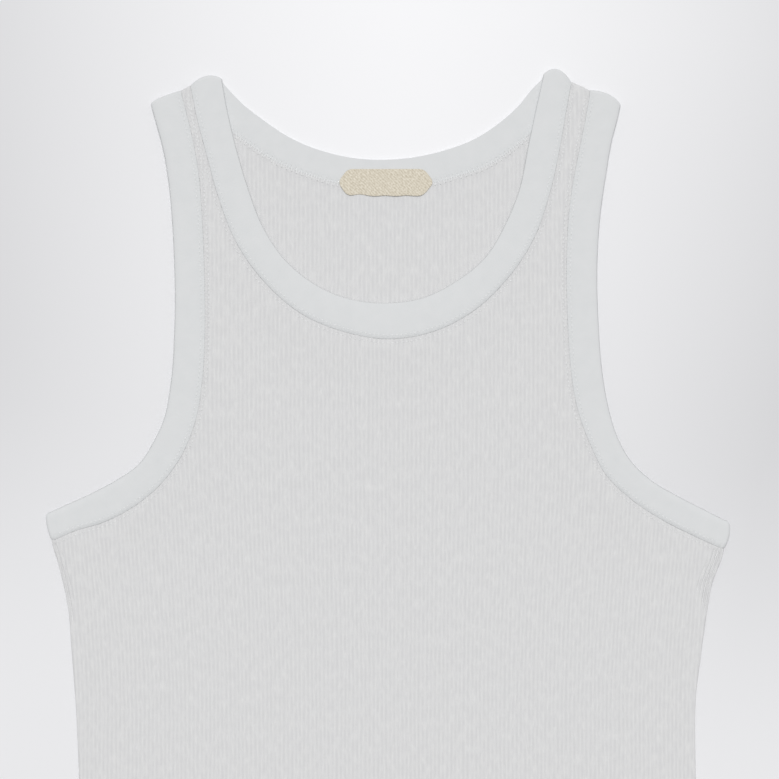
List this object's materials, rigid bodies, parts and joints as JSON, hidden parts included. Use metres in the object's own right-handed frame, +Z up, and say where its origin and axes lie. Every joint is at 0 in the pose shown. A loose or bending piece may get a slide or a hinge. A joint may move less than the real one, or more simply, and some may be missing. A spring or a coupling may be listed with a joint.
{
  "type": "tank top",
  "caption": "White rib-knit tank top laid flat: deep scoop neck, cut-in armholes, smooth knit bands round the openings, turned-up hem and a blank woven label inside the back of the neck.",
  "frame": {"origin": "Centre of the laid garment's outline, on the surface that it lies on.", "axes": "Z up, off the surface, towards a viewer who looks at the front. Y runs from the hem to the shoulders, X from the garment's side on the viewer's left to the one on the right."},
  "size_m": [0.4588, 0.6828, 0.0052],
  "materials": {
    "rib_knit": "matte cotton rib knit, white",
    "band_knit": "matte fine smooth knit, folded double, white",
    "label_tape": "woven cream tape, slightly satiny"
  },
  "bodies": {
    "root": {"front_panel": "rib_knit", "back_panel": "rib_knit", "neck_band": "band_knit", "armhole_band_left": "band_knit", "armhole_band_right": "band_knit", "neck_label": "label_tape"}
  },
  "joints": []
}
